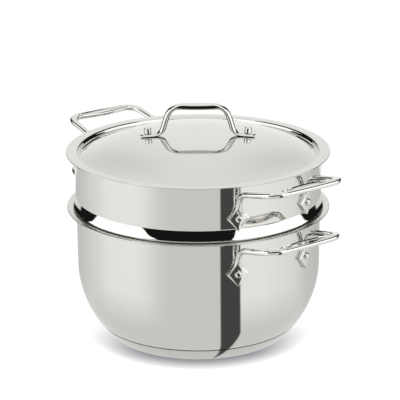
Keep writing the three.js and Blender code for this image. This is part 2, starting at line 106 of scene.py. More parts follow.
def make_mesh(name, points, quads, layers):
    """A mesh from points in millimetres, with named numbers on its points and its doubled points merged."""
    mesh = bpy.data.meshes.new(name)
    mesh.from_pydata((points * MM).tolist(), [], outward(points, quads).tolist())
    add_layers(mesh, layers)
    work = bmesh.new()
    work.from_mesh(mesh)
    bmesh.ops.remove_doubles(work, verts=work.verts, dist=MERGE_DISTANCE)
    work.to_mesh(mesh)
    work.free()
    return mesh


def add_piece(node, points, quads, body, slot, finish, crease=SHEET_CREASE, **layers):
    """A finished piece that stands for one CAD node: smooth but for edges sharper than the crease angle."""
    name = node + "_polished"
    mesh = make_mesh(name, points, quads, layers)
    mesh.shade_smooth()
    mesh.set_sharp_from_angle(angle=math.radians(crease))
    mesh.materials.append(finish)
    piece = add_object(name, mesh)
    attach(piece, body)
    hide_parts(node)
    print(f"{name}: {len(mesh.vertices)} points")
    return piece


# %% [markdown]
# ## The finishes
# Polished stainless is a metal with almost no roughness of its own. What makes it look real is how little it
# varies: buffing leaves faint rings, fingers leave soft patches, and the colour drifts by a hundredth.
# A flat value would look like a computer's chrome, so each of these is a noise with a very small share.
# The insides are not buffed. They keep the satin rings of the spinning lathe, and so does the clad base.


# %% Steel
def link(tree, source, output, target, socket):
    """Joins one node's output to another's input."""
    tree.links.new(source.outputs[output], target.inputs[socket])


def add_node(tree, kind, **settings):
    """A shader node with its properties, or its inputs where the name is an input's."""
    node = tree.nodes.new(kind)
    for key, value in settings.items():
        if key in node.inputs:
            node.inputs[key].default_value = value
        else:
            setattr(node, key, value)
    return node


def map_range(tree, source, output, low, high, to_low, to_high):
    """A value moved from one range to another, and held at its ends."""
    node = add_node(tree, "ShaderNodeMapRange")
    for socket, value in zip(("From Min", "From Max", "To Min", "To Max"), (low, high, to_low, to_high)):
        node.inputs[socket].default_value = value
    link(tree, source, output, node, "Value")
    return node


def ring_coordinates(tree, stretch):
    """Distance from the axis and height, with the angle squeezed out, so that a noise turns into rings."""
    place = add_node(tree, "ShaderNodeTexCoord")
    split = add_node(tree, "ShaderNodeSeparateXYZ")
    link(tree, place, "Object", split, "Vector")
    flat = add_node(tree, "ShaderNodeCombineXYZ")
    link(tree, split, "X", flat, "X")
    link(tree, split, "Y", flat, "Y")
    radius = add_node(tree, "ShaderNodeVectorMath", operation="LENGTH")
    link(tree, flat, "Vector", radius, 0)
    rings = add_node(tree, "ShaderNodeCombineXYZ")
    link(tree, radius, "Value", rings, "X")
    link(tree, split, "Z", rings, "Z")
    scaled = add_node(tree, "ShaderNodeVectorMath", operation="SCALE", Scale=stretch)
    link(tree, rings, "Vector", scaled, 0)
    return place, scaled


def new_material(name):
    """A material and its node tree."""
    material = bpy.data.materials.new(name)
    material.use_nodes = True
    return material, material.node_tree


# Near black: the painted shade of the seam between the base cap and the pot.
SEAM_SHADE_COLOUR = (0.035, 0.034, 0.032, 1.0)
COLOUR_DRIFT = 0.975
PATCH_SCALE = 14.0
PATCH_RANGE = (0.35, 0.7)
PATCH_ROUGHNESS = (0.8, 1.3)
RING_STRENGTH = (0.012, 0.25)
RING_HEIGHT = 0.00005


def steel(name, colour, roughness, satin, rings):
    """Stainless steel with soft patches of wear and faint lathe rings: satin where the inner layer is 1, and
    painted dark where the layer for the seam's painted shade is 1."""
    material, tree = new_material(name)
    shader = tree.nodes["Principled BSDF"]
    shader.inputs["Metallic"].default_value = 1.0
    place, turned = ring_coordinates(tree, rings)

    patches = add_node(tree, "ShaderNodeTexNoise", Scale=PATCH_SCALE, Detail=3.0)
    link(tree, place, "Object", patches, "Vector")
    drift = add_node(tree, "ShaderNodeMix", data_type="RGBA")
    drift.inputs["A"].default_value = (*(COLOUR_DRIFT * c for c in colour), 1.0)
    drift.inputs["B"].default_value = (*colour, 1.0)
    link(tree, patches, "Fac", drift, "Factor")
    # Painted shade in the seam: the colour turns near black where the seam's layer is 1.
    joint = add_node(tree, "ShaderNodeAttribute", attribute_name="joint")
    seam_shaded = add_node(tree, "ShaderNodeMix", data_type="RGBA")
    seam_shaded.inputs["B"].default_value = SEAM_SHADE_COLOUR
    link(tree, joint, "Fac", seam_shaded, "Factor")
    link(tree, drift, "Result", seam_shaded, "A")
    link(tree, seam_shaded, "Result", shader, "Base Color")

    smoothest, roughest = (share * roughness for share in PATCH_ROUGHNESS)
    buffed = map_range(tree, patches, "Fac", *PATCH_RANGE, smoothest, roughest)
    inner = add_node(tree, "ShaderNodeAttribute", attribute_name="inner")
    mixed = add_node(tree, "ShaderNodeMix", data_type="FLOAT")
    mixed.inputs["B"].default_value = satin
    link(tree, inner, "Fac", mixed, "Factor")
    link(tree, buffed, "Result", mixed, "A")
    link(tree, mixed, "Result", shader, "Roughness")

    lathe = add_node(tree, "ShaderNodeTexNoise", Scale=1.0, Detail=2.0)
    link(tree, turned, "Vector", lathe, "Vector")
    depth = map_range(tree, inner, "Fac", 0.0, 1.0, *RING_STRENGTH)
    bump = add_node(tree, "ShaderNodeBump", Distance=RING_HEIGHT)
    link(tree, depth, "Result", bump, "Strength")
    link(tree, lathe, "Fac", bump, "Height")
    link(tree, bump, "Normal", shader, "Normal")
    return material


SHEET_COLOUR = (0.700, 0.693, 0.672)
BASE_COLOUR = (0.640, 0.632, 0.612)
CAST_COLOUR = (0.740, 0.733, 0.715)
CORE_COLOUR = (0.68, 0.70, 0.72)
sheet_steel = steel("sheet_steel", SHEET_COLOUR, roughness=0.035, satin=0.26, rings=2600.0)
base_steel = steel("base_steel", BASE_COLOUR, roughness=0.05, satin=0.30, rings=2200.0)
cast_steel = steel("cast_steel", CAST_COLOUR, roughness=0.05, satin=0.30, rings=900.0)
rivet_steel = steel("rivet_steel", CAST_COLOUR, roughness=0.06, satin=0.30, rings=1500.0)
core_metal = steel("core_metal", CORE_COLOUR, roughness=0.35, satin=0.35, rings=1200.0)
core_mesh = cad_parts["base_core"].data
core_mesh.materials.clear()
core_mesh.materials.append(core_metal)
print("finishes:", [m.name for m in bpy.data.materials])

# %% [markdown]
# ## Drawn sheets
# The pot, the insert, the lid and the cap under the base are discs of sheet, pressed and spun into shape.
# So each is one path in the plane of radius and height, given a wall, and turned about the axis.
# The path is straight stretches joined by arcs. A mirror would show a bad normal along a whole stretch,
# so a support point stands close to each end of it, and keeps the bend's shading inside the bend.

# %% Sheet sizes
FIT_GAP = 0.3
TURNS = 240
ARC_STEP = math.radians(5)
SUPPORT = 0.35
LONG_STRETCH = 2.2
RIM_POINTS = 9


# %% Paths and sections
def bent_path(corners):
    """Straight stretches joined by arcs. A corner is (radius, height, bend). Its arc, of the bend's radius,
    touches both stretches at bend / tan(h) from the corner, where h is half the angle between them."""
    corners = [np.array(corner, float) for corner in corners]
    stretches = [corners[0][None, :2]]
    for before, corner, after in zip(corners, corners[1:], corners[2:]):
        place, bend = corner[:2], corner[2]
        back, ahead = unit(before[:2] - place), unit(after[:2] - place)
        if bend == 0:
            stretches.append(place[None])
            continue
        half = math.acos(back @ ahead) / 2
        centre = place + unit(back + ahead) * bend / math.sin(half)
        spoke = place + back * bend / math.tan(half) - centre
        sweep = (math.pi - 2 * half) * np.sign(ahead[0] * back[1] - ahead[1] * back[0])
        turn = np.linspace(0, sweep, max(int(abs(sweep) / ARC_STEP), 2) + 1)[:, None]
        stretches.append(centre + np.cos(turn) * spoke + np.sin(turn) * np.array([-spoke[1], spoke[0]]))
    stretches.append(corners[-1][None, :2])
    return supported(np.concatenate(stretches))


def supported(path):
    """The path with a support point near each end of every long stretch."""
    step = np.diff(path, axis=0)
    length = np.linalg.norm(step, axis=1)
    long = np.flatnonzero(length > LONG_STRETCH)
    share = (SUPPORT / length[long])[:, None]
    extra = np.stack([path[long] + share * step[long], path[long + 1] - share * step[long]], axis=1)
    return np.insert(path, np.repeat(long + 1, 2), extra.reshape(-1, 2), axis=0)


def left_of(path, distance):
    """The path moved to its left: each point along its mean normal, divided by the cosine to either one."""
    along = unit(np.diff(path, axis=0))
    normal = np.stack([-along[:, 1], along[:, 0]], axis=1)
    before = np.concatenate([normal[:1], normal])
    mean = unit(before + np.concatenate([normal, normal[-1:]]))
    return path + mean * (distance / np.sum(mean * before, axis=1))[:, None]


def sheet_section(path, wall):
    """The section of a sheet: its face, a half round rim, and the other face, a wall away to the left.
    The rim is centre - cos(t) * normal * wall / 2 + sin(t) * along * wall / 2, for t from 0 to pi."""
    along = unit(path[-1] - path[-2])
    normal = np.array([-along[1], along[0]])
    face = path.copy()
    face[-2:] -= along * abs(wall) / 2
    other = left_of(face, wall)
    other[:, 0] = np.where(face[:, 0] == 0, 0, other[:, 0])
    t = np.linspace(0, math.pi, RIM_POINTS)[1:-1, None]
    rim = face[-1] + normal * wall / 2 - np.cos(t) * normal * wall / 2 + np.sin(t) * along * abs(wall) / 2
    inner = np.concatenate([np.zeros(len(face)), np.full(len(rim), 0.5), np.ones(len(other))])
    return np.concatenate([face, rim, other[::-1]]), inner


def revolve(section, turns=TURNS):
    """Rows of points: each point of the section carried round the axis, as (r cos a, r sin a, z)."""
    a = np.linspace(0, 2 * math.pi, turns, endpoint=False)
    r, z = section[:, :1], section[:, 1:]
    return np.stack([r * np.cos(a), r * np.sin(a), z + 0 * a], axis=-1)


def add_sheet(node, path, wall, body, slot, finish, joint_top=0.0, joint_rim=False):
    """A drawn sheet that stands for one CAD node. The inner layer marks the face away from the path, and the
    seam's painted shade marks the path's own face below a height, where another sheet covers it, or the rim."""
    section, inner = sheet_section(path, wall)
    points, quads = closed_grid(revolve(section))
    # The seam's painted shade: on the face hidden under another sheet, and on the rim.
    joint = (section[:, 1] < joint_top) & (inner == 0) | (joint_rim & (inner == 0.5))
    return add_piece(node, points, quads, body, slot, finish, inner=np.repeat(inner, TURNS),
                     joint=np.repeat(joint * 1.0, TURNS))


# %% [markdown]
# ## The pot and its clad base
# The wall is straight at the top and rounds in below, as an arc of about 100 mm. An aluminium disc under the
# floor spreads the heat, and a pressed steel cap closes it in. All that shows of that is the cap's fine seam.

# %% Pot and base
POT_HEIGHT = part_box("pot_shell")[1].z / MM
POT_LIP_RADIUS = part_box("pot_shell")[1].x / MM
POT_RADIUS = 121.5
POT_WALL = 1.2
POT_LIP_BEND = 3.3
BELLY_START = 74.7
BELLY_RADIUS = 100.7
BASE_HEIGHT = 15.3
BASE_EDGE = 3.0
CAP_WALL = 0.8
CORE_THICKNESS = 5.5
SEAM_WIDTH = 0.55
SEAM_SHADE_MARGIN = 0.01

floor_height = CAP_WALL + CORE_THICKNESS + 2 * FIT_GAP
belly_middle = POT_RADIUS - BELLY_RADIUS


def belly_arc(low, high, inside, count):
    """Corners of the belly's arc from one height up to another, or of an arc that far inside it:
    radius = middle + R cos(a) and height = start - R sin(a)."""
    reach = BELLY_RADIUS - inside
    a = np.linspace(math.asin((BELLY_START - low) / reach), math.asin((BELLY_START - high) / reach), count)
    return np.stack([belly_middle + reach * np.cos(a), BELLY_START - reach * np.sin(a), 0 * a], axis=1)


pot_path = bent_path([
    (0, floor_height, 0),
    *belly_arc(floor_height, BASE_HEIGHT, CAP_WALL + FIT_GAP, 8),
    *belly_arc(BASE_HEIGHT, BELLY_START, 0, 28),
    (POT_RADIUS, POT_HEIGHT - POT_WALL, POT_LIP_BEND),
    (POT_LIP_RADIUS, POT_HEIGHT - POT_WALL, 0),
])
rim_rise = CAP_WALL * (BELLY_START - BASE_HEIGHT) / BELLY_RADIUS
foot, *cap_side = belly_arc(0, BASE_HEIGHT - SEAM_WIDTH - rim_rise, 0, 8)
cap_path = bent_path([(0, 0, 0), (foot[0], 0, BASE_EDGE), *cap_side])
# The pot's face under the cap and the cap's rim carry the seam's painted shade.
add_sheet("pot_shell", pot_path, POT_WALL, "pot", "polished_steel", sheet_steel,
          joint_top=BASE_HEIGHT - SEAM_SHADE_MARGIN)
add_sheet("base_cap", cap_path, CAP_WALL, "pot", "base_steel", base_steel, joint_rim=True)
print("foot", round(2 * foot[0]), "mm across, seam", round(2 * cap_side[-1][0]))

# %% [markdown]
# ## The steamer insert
# The insert stands on the pot's lip on a flared bead, and its neck hangs inside the pot. Its floor is punched
# with rings of steam holes, six more in each ring than in the one inside it. Each hole sits in its own cell,
# a piece of a ring, so a cell is a grid from its rim to its hole, over the hole's edge and back underneath.

# %% Insert sizes
INSERT_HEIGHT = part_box("insert_shell")[1].z / MM
INSERT_LIP_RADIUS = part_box("insert_shell")[1].x / MM
INSERT_RADIUS = 122.4
INSERT_WALL = 1.0
INSERT_LIP_BEND = 2.0
BEAD_HEIGHT = 12.3
BEAD_FLARE = 3.4
BEAD_START = 0.25
BEAD_WAIST = 0.45
BEAD_CURL = 1.6
NECK_PLAY = 1.8
NECK_DEPTH = 24.0
NECK_BEND = 2.0
NECK_CORNER = 12.0
HOLE_RADIUS = 3.6
HOLE_EDGE = 0.3
HOLE_RINGS = 4
HOLE_PITCH = 23.0
CELL_STEP = 4


# %% Perforated floor
def cell_rim(ring):
    """Rim of one hole's cell as radius and angle: out along the outer arc, in, back along the inner arc, out.
    Neighbouring rings share their arcs' points, as both counts come from the product of their numbers."""
    if ring == 0:
        angle = np.linspace(0, 2 * math.pi, 6 * CELL_STEP, endpoint=False)
        return np.full(len(angle), HOLE_PITCH / 2), angle
    cells = 6 * ring
    half = math.pi / cells
    far, close = (ring + 0.5) * HOLE_PITCH, (ring - 0.5) * HOLE_PITCH
    out_count = TURNS // cells if ring == HOLE_RINGS else (ring + 1) * CELL_STEP
    in_count = max(ring - 1, 1) * CELL_STEP
    over = np.linspace(-half, half, out_count, endpoint=False)
    back = np.linspace(half, -half, in_count, endpoint=False)
    down = np.linspace(far, close, CELL_STEP, endpoint=False)
    up = np.linspace(close, far, CELL_STEP, endpoint=False)
    side = np.full(CELL_STEP, half)
    radius = np.concatenate([np.full(out_count, far), down, np.full(in_count, close), up])
    return radius, np.concatenate([over, side, back, -side])


def ring_of_cells(ring, low, high):
    """All cells of one ring: rows from the rim above, round the hole's edge, to the rim below."""
    cells = max(6 * ring, 1)
    turn = (2 * math.pi * np.arange(cells) / cells)[:, None]
    radius, angle = cell_rim(ring)
    rim = np.stack([radius * np.cos(angle + turn), radius * np.sin(angle + turn)], axis=-1)
    middle = ring * HOLE_PITCH * np.stack([np.cos(turn), np.sin(turn)], axis=-1)
    away = unit(rim - middle)
    edge, wall = middle + (HOLE_RADIUS + HOLE_EDGE) * away, middle + HOLE_RADIUS * away
    upper = [(rim, high), (edge, high), (wall, high - HOLE_EDGE)]
    lower = [(wall, low + HOLE_EDGE), (edge, low), (rim, low)]
    rows = [np.concatenate([flat, np.full(flat.shape[:2] + (1,), z)], axis=-1) for flat, z in upper + lower]
    points = np.stack(rows, axis=1)
    quads = grid_quads(len(rows), points.shape[2])
    step = points.shape[1] * points.shape[2] * np.arange(cells)[:, None, None]
    return points.reshape(-1, 3), (quads + step).reshape(-1, 4)


def joined(grids):
    """Several grids as one: each one's corner numbers follow on from the points before it."""
    counts = np.cumsum([0] + [len(points) for points, _ in grids])
    quads = [quads + first for (_, quads), first in zip(grids, counts)]
    return np.concatenate([points for points, _ in grids]), np.concatenate(quads)


# %% Insert
def bead_corners(count=8):
    """The hollow flare of the bead: a straight flare less a parabola, 4 * waist * t * (1 - t)."""
    t = np.linspace(BEAD_START, 1, count)
    flare = BEAD_FLARE * (1 - t) - 4 * BEAD_WAIST * t * (1 - t)
    return np.stack([INSERT_RADIUS + flare, POT_HEIGHT + BEAD_HEIGHT * t, 0 * t], axis=1)


neck = POT_RADIUS - POT_WALL - NECK_PLAY
lip_level = INSERT_HEIGHT - INSERT_WALL
floor_low = POT_HEIGHT - NECK_DEPTH
floor_edge = (HOLE_RINGS + 0.5) * HOLE_PITCH
insert_path = bent_path([
    (floor_edge, floor_low, 0),
    (neck, floor_low, NECK_CORNER),
    (neck, POT_HEIGHT + FIT_GAP, NECK_BEND),
    (INSERT_RADIUS + BEAD_FLARE, POT_HEIGHT + FIT_GAP, BEAD_CURL),
    *bead_corners(),
    (INSERT_RADIUS, lip_level, INSERT_LIP_BEND),
    (INSERT_LIP_RADIUS, lip_level, 0),
])
insert_section, insert_inner = sheet_section(insert_path, INSERT_WALL)
rings = [ring_of_cells(ring, floor_low, floor_low + INSERT_WALL) for ring in range(HOLE_RINGS + 1)]
plate = joined(rings)
wall_points, wall_quads = closed_grid(revolve(insert_section))
wall_quads = wall_quads[:, ::-1]
insert_points, insert_quads = joined([(wall_points, wall_quads), plate])
insert_layer = np.concatenate([np.repeat(insert_inner, TURNS), np.ones(len(plate[0]))])
add_piece("insert_shell", insert_points, insert_quads, "insert", "polished_steel", sheet_steel,
          inner=insert_layer)

# %% [markdown]
# ## The lid
# The lid drops into the insert: a flange rests on the lip, a short wall fits inside the insert, and a low
# dome rises from the foot of that wall. A dome could be part of a sphere, but the mirrored loop shows that
# this one is flatter on top and steeper at its edge, so its height falls with a power of the radius.
# Its rows of points crowd towards the edge, because it bends most there.

# %% Lid
LID_WALL = 1.0
LID_TOP = INSERT_HEIGHT + FIT_GAP + LID_WALL
LID_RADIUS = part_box("lid_shell")[1].x / MM
LID_PLAY = 0.6
LID_ROOT_BEND = 2.8
LID_TURN = math.radians(53)
FLANGE_FALL = 0.35
WELL_DEPTH = 4.6
WELL_BEND = 1.1
WELL_DRAFT = 1.2
DOME_RISE = 14.4
DOME_POWER = 2.8
DOME_ROWS = 100
DOME_CROWDING = 1.25

well_radius = INSERT_RADIUS - INSERT_WALL - LID_PLAY - LID_WALL
dome_radius = well_radius - WELL_DRAFT
dome_fall = DOME_RISE + WELL_DEPTH


def dome_height(r):
    """Height of the dome over the flange: rise - fall * (r / its edge's radius)^power."""
    return DOME_RISE - dome_fall * (r / dome_radius) ** DOME_POWER


dome_share = 1 - np.linspace(1, 0, DOME_ROWS) ** DOME_CROWDING
dome_reach = (dome_radius - 2 * WELL_BEND) * dome_share
lid_path = bent_path([
    *np.stack([dome_reach, dome_height(dome_reach), 0 * dome_reach], axis=1),
    (dome_radius, -WELL_DEPTH, WELL_BEND),
    (well_radius, 0, LID_ROOT_BEND),
    (LID_RADIUS, -FLANGE_FALL, 0),
])
lid_path[:, 1] += LID_TOP
add_sheet("lid_shell", lid_path, -LID_WALL, "lid", "polished_steel", sheet_steel)

# %% [markdown]
# ## Cast handles
# Each side handle is one casting: a dished grip, two arms that dive to the wall, and two diamond pads.
# It could be pushed together from boxes and tubes, but the real one flows, so it is a loft: a rounded section
# is carried along a middle line, and its width, thickness and squareness change on the way.


# %% Lofts
def line(a, b, count):
    """Points from a to b, without the first."""
    t = np.linspace(0, 1, count + 1)[1:, None]
    return a + t * (b - a), t[:, 0]


def bend(a, corner, b, count):
    """A quadratic Bezier from a round a corner to b, without a: its weights are (1-t)^2, 2t(1-t) and t^2."""
    t = np.linspace(0, 1, count + 1)[1:, None]
    return (1 - t) ** 2 * a + 2 * t * (1 - t) * corner + t**2 * b, t[:, 0]


def cast_section(angle, squareness):
    """A rounded flat: cos and sin of the angle, with their sizes raised to 2 / squareness."""
    c, s = np.cos(angle), np.sin(angle)
    return np.sign(c) * np.abs(c) ** (2 / squareness), np.sign(s) * np.abs(s) ** (2 / squareness)


def loft(middle, face, width, thickness, squareness, lean=0.0, sides=96):
    """A section carried along a middle line: middle + width * cos * side + thickness * sin * face,
    where the face direction is made square to the line, and the side is square to both.
    A lean narrows it towards its face: its width is scaled by (1 - lean * sin) / (1 + |lean|)."""
    along = unit(np.gradient(middle, axis=0))
    face = unit(face - np.sum(face * along, axis=1, keepdims=True) * along)
    side = np.cross(face, along)
    angle = np.linspace(0, 2 * math.pi, sides, endpoint=False)[None, :]
    across, over = cast_section(angle, np.asarray(squareness)[:, None])
    lean = np.zeros(len(middle))[:, None] + np.reshape(lean, (-1, 1))
    across = across * width[:, None] * (1 - lean * over) / (1 + np.abs(lean))
    over = over * thickness[:, None]
    points = middle[:, None] + across[..., None] * side[:, None] + over[..., None] * face[:, None]
    ends = np.repeat(middle[[0, -1], None], sides, axis=1)
    return np.concatenate([ends[:1], points, ends[1:]])


def end_to_end(stretches):
    """Stretches of a middle line as one: its points, the number of each one's stretch, and its share."""
    part = np.concatenate([np.full(len(t), k) for k, (_, t) in enumerate(stretches)])
    t = np.concatenate([t for _, t in stretches])
    return np.concatenate([points for points, _ in stretches]), part, t


def both_halves(half, mirror=1):
    """One half of a symmetric array of points or sizes, and its mirror image before it, from end to end."""
    return np.concatenate([half[:0:-1] * mirror, half])


def symmetric_loft(flip, middle, face, *sizes):
    """A loft over one half of a middle line and its mirror image."""
    return loft(both_halves(middle, flip), both_halves(face, flip), *(both_halves(size) for size in sizes))


def smoothstep(value, low, high):
    """0 below low, 1 above high, and 3t^2 - 2t^3 between them."""
    t = np.clip((value - low) / (high - low), 0, 1)
    return t * t * (3 - 2 * t)


# %% Side handle sizes
PAD_SPACING = 81.6
RIVET_DROP = 32.5
PAD_HALF_WIDTH = 11.3
PAD_FOOT = 12.3
PAD_HEAD = 15.0
PAD_THICKNESS = 3.4
STEM_HALF = 3.0
ROD_HALF = 2.8
ARM_HALF = 3.5
GRIP_HALF = 6.4
GRIP_END_HALF = 4.9
GRIP_LENGTH = 89.0
GRIP_RISE = 2.4
GRIP_CORNER = 15.0
HANDLE_REACH = 51.6
ARM_DROP = 7.8
ARM_STAND_OFF = 6.5
ARM_BEND = 9.0
STEM_BEND = 5.0
DISH_HALF_LENGTH = 32.0
DISH_HALF_WIDTH = 4.6
DISH_DEPTH = 1.5
DISH_EDGE_POWER = 6
DISH_END_SLOPE = 7
GRIP_SQUARENESS = 3.0
ARM_ROUNDING = 0.9
PAD_SQUARING = 3.4
HEAD_RADIUS = 3.5
TIP_HALF = 0.25
SEAT_GAP = 0.05
PAD_FACE = PAD_THICKNESS + FIT_GAP


# %% Side handles
def pad_half_width(rise):
    """Half width of a pad at a height over its rivet: straight sides below, an ogee into the stem above."""
    below = np.maximum(PAD_HALF_WIDTH * (1 + rise / PAD_FOOT), TIP_HALF)
    above = STEM_HALF + (PAD_HALF_WIDTH - STEM_HALF) * np.clip(1 - rise / PAD_HEAD, 0, 1) ** 2
    return np.where(rise < 0, below, above)


def wrapped(points, wall, pad_angle):
    """Points of a flat pad bent round the wall: its width becomes an arc, u / r, and its stand-off stays."""
    sign = np.where(points[..., 1] < 0, -1, 1)
    x, y = points[..., 0], points[..., 1] * sign
    c, s = math.cos(pad_angle), math.sin(pad_angle)
    r = c * x + s * y
    angle = pad_angle + (c * y - s * x) / np.maximum(r, wall / 2)
    return np.stack([r * np.cos(angle), sign * r * np.sin(angle), points[..., 2]], axis=-1)


def handle_points(wall):
    """The handle that points along +X from a wall of that radius, with z = 0 on the vessel's lip."""
    pad_angle = math.asin(PAD_SPACING / 2 / wall)
    outward_way = np.array([math.cos(pad_angle), math.sin(pad_angle), 0])
    up = np.array([0, 0, 1.0])

    def over(stand_off, z):
        return outward_way * (wall + stand_off) + up * z

    edge = wall + HANDLE_REACH
    grip_middle = np.array([edge - GRIP_HALF, 0, GRIP_RISE])
    corner = np.array([edge - GRIP_END_HALF, GRIP_LENGTH / 2 - ARM_HALF, GRIP_RISE])
    turn = over(ARM_STAND_OFF, -ARM_DROP)
    pad_top = over(PAD_THICKNESS / 2, -RIVET_DROP + PAD_HEAD / 2)
    pad_flat = over(PAD_THICKNESS / 2, -RIVET_DROP + HEAD_RADIUS)
    pad_tip = over(PAD_THICKNESS / 2, -RIVET_DROP - PAD_FOOT)
    inward, down = unit(turn - corner), unit(pad_top - turn)
    grip_end = corner - np.array([0, GRIP_CORNER, 0])
    grip_ease = np.array([grip_middle[0], grip_end[1] / 2, grip_middle[2]])
    arm_start, arm_end = corner + GRIP_CORNER * inward, turn - ARM_BEND * inward
    stem_top, stem_foot = turn + ARM_BEND * down, pad_top - STEM_BEND * down

    stretches = [
        (np.array([grip_middle]), np.zeros(1)),
        bend(grip_middle, grip_ease, grip_end, 50),
        bend(grip_end, corner, arm_start, 16),
        line(arm_start, arm_end, 10),
        bend(arm_end, turn, stem_top, 18),
        line(stem_top, stem_foot, 6),
        bend(stem_foot, pad_top, pad_flat, 12),
        line(pad_flat, pad_tip, 30),
    ]
    middle, part, t = end_to_end(stretches)
    rise = middle[:, 2] + RIVET_DROP

    grip_width = GRIP_HALF + (GRIP_END_HALF - GRIP_HALF) * t**2
    corner_width = GRIP_END_HALF + (ARM_HALF - GRIP_END_HALF) * t
    turn_width = ARM_HALF + (STEM_HALF - ARM_HALF) * t
    stretch = [part <= 1, part == 2, part == 3, part == 4]
    width = np.select(stretch, [grip_width, corner_width, ARM_HALF, turn_width], pad_half_width(rise))
    stem_share = smoothstep(rise, HEAD_RADIUS, PAD_HEAD)
    pad_half = PAD_FACE - PAD_THICKNESS / 2
    thickness = np.where(part >= 5, pad_half + (ROD_HALF - pad_half) * stem_share, ROD_HALF)
    way = np.concatenate([[0], np.cumsum(np.linalg.norm(np.diff(middle, axis=0), axis=1))])
    grip_stop, arm_stop, pad_start = (way[part == k][-1] for k in (1, 3, 6))
    on_arm = smoothstep(way, grip_stop, arm_stop)
    turned = smoothstep(way, arm_stop, pad_start)
    squareness = GRIP_SQUARENESS - ARM_ROUNDING * on_arm + PAD_SQUARING * (1 - stem_share)

    inward_level = unit(inward * np.array([1, 1, 0]))
    face = up + on_arm[:, None] * ((1 - turned[:, None]) * inward_level - turned[:, None] * outward_way)

    points = symmetric_loft(np.array([1, -1, 1]), middle, face, width, thickness, squareness)
    on_pad = np.concatenate([[1], 1 - both_halves(stem_share), [1]])[:, None, None]
    return points + on_pad * (wrapped(points, wall, pad_angle) - points)


def leaf_dish(points, along, across, on_top, depth):
    """A leaf-shaped hollow: depth * (1 - q^6), where q = across / (1 - along^2) is 1 on its edge.
    It runs out towards the two points of the leaf."""
    leaf = np.maximum(1 - along**2, 1e-6)
    q = np.clip(np.abs(across) / leaf, 0, 1)
    sunk = depth * (1 - q**DISH_EDGE_POWER) * np.minimum(leaf * DISH_END_SLOPE, 1)
    points[..., 2] -= np.where(on_top & (np.abs(along) < 1), sunk, 0)
    return points


def thumb_dish(points, wall):
    """The hollow in the top of a side handle's grip."""
    along = points[..., 1] / DISH_HALF_LENGTH
    across = (points[..., 0] - (wall + HANDLE_REACH - GRIP_HALF)) / DISH_HALF_WIDTH
    return leaf_dish(points, along, across, points[..., 2] > GRIP_RISE, DISH_DEPTH)


def seat_on_wall(points, wall_radius):
    """Points that would lie inside the wall moved straight out to just above it."""
    radius = np.hypot(points[..., 0], points[..., 1])
    least = wall_radius(points[..., 2]) + SEAT_GAP
    push = np.where(radius < least, least / radius, 1)
    return points * np.stack([push, push, np.ones_like(push)], axis=-1)


def insert_wall_radius(z):
    """Outside of the insert at a height: its wall, and the cone of the bead below it."""
    return INSERT_RADIUS + BEAD_FLARE * np.clip(1 - (z - POT_HEIGHT) / BEAD_HEIGHT, 0, 1)


def turned_about_axis(points, angle):
    """Points turned about Z by an angle."""
    c, s = math.cos(angle), math.sin(angle)
    x, y, z = points[..., 0], points[..., 1], points[..., 2]
    return np.stack([c * x - s * y, s * x + c * y, z], axis=-1)


def add_loft(node, points, body, finish):
    """A loft that stands for one CAD node."""
    return add_piece(node, *closed_grid(points), body, "cast_steel", finish, crease=CAST_CREASE)


VESSELS = {
    "pot": (POT_RADIUS, POT_WALL, POT_HEIGHT, lambda z: POT_RADIUS + 0 * z),
    "insert": (INSERT_RADIUS, INSERT_WALL, INSERT_HEIGHT, insert_wall_radius),
}
SIDES = {"right": 0.0, "left": math.pi}
for vessel, (wall, _, lip, wall_radius) in VESSELS.items():
    casting = thumb_dish(handle_points(wall), wall) + np.array([0, 0, lip])
    casting = seat_on_wall(casting, wall_radius)
    for side, turn in SIDES.items():
        add_loft(f"{vessel}_handle_{side}", turned_about_axis(casting, turn), vessel, cast_steel)

# %% [markdown]
# ## The lid's handle
# The loop on the lid is cast the same way: a bar, two legs that lean out a little, and a flat ear at each
# foot. The bar is squarer than the legs, so its front mirrors one even band.

# %% Lid handle
LOOP_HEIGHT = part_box("lid_handle")[1].z / MM - LID_TOP
LOOP_WIDTH = 60.8
LOOP_SPLAY = 8.2
LOOP_CORNER = 12.0
FOOT_BEND = 7.0
BAR_MIDDLE_HALF_DEPTH = 5.3
BAR_HALF_DEPTH = 4.1
BAR_HALF = 2.8
BAR_FLAT = (14.0, 23.0)
BAR_LEAN = 0.05
BAR_DISH = (13.5, 1.4, 0.7)
EAR_HALF_WIDTH = 7.0
EAR_THICKNESS = 3.0
EAR_LEAN = 0.35
EAR_RIVET = 49.2
EAR_REACH = 57.0
EAR_ROUND_END = (4, 0.002)
EAR_THIN_END = (8, 0.04)
LEG_SQUARENESS = 2.1
BAR_SQUARING = 3.9
EAR_SQUARING = 0.4


def ear_point(r):
    """A point in the middle of the ear's thickness, over the dome at that radius."""
    return np.array([r, 0, dome_height(r) + FIT_GAP + EAR_THICKNESS / 2])


def end_share(t, power, least):
    """How a size draws in towards its end: the root of 1 - t^power, which is held at a least value."""
    return np.sqrt(np.maximum(1 - t**power, least))


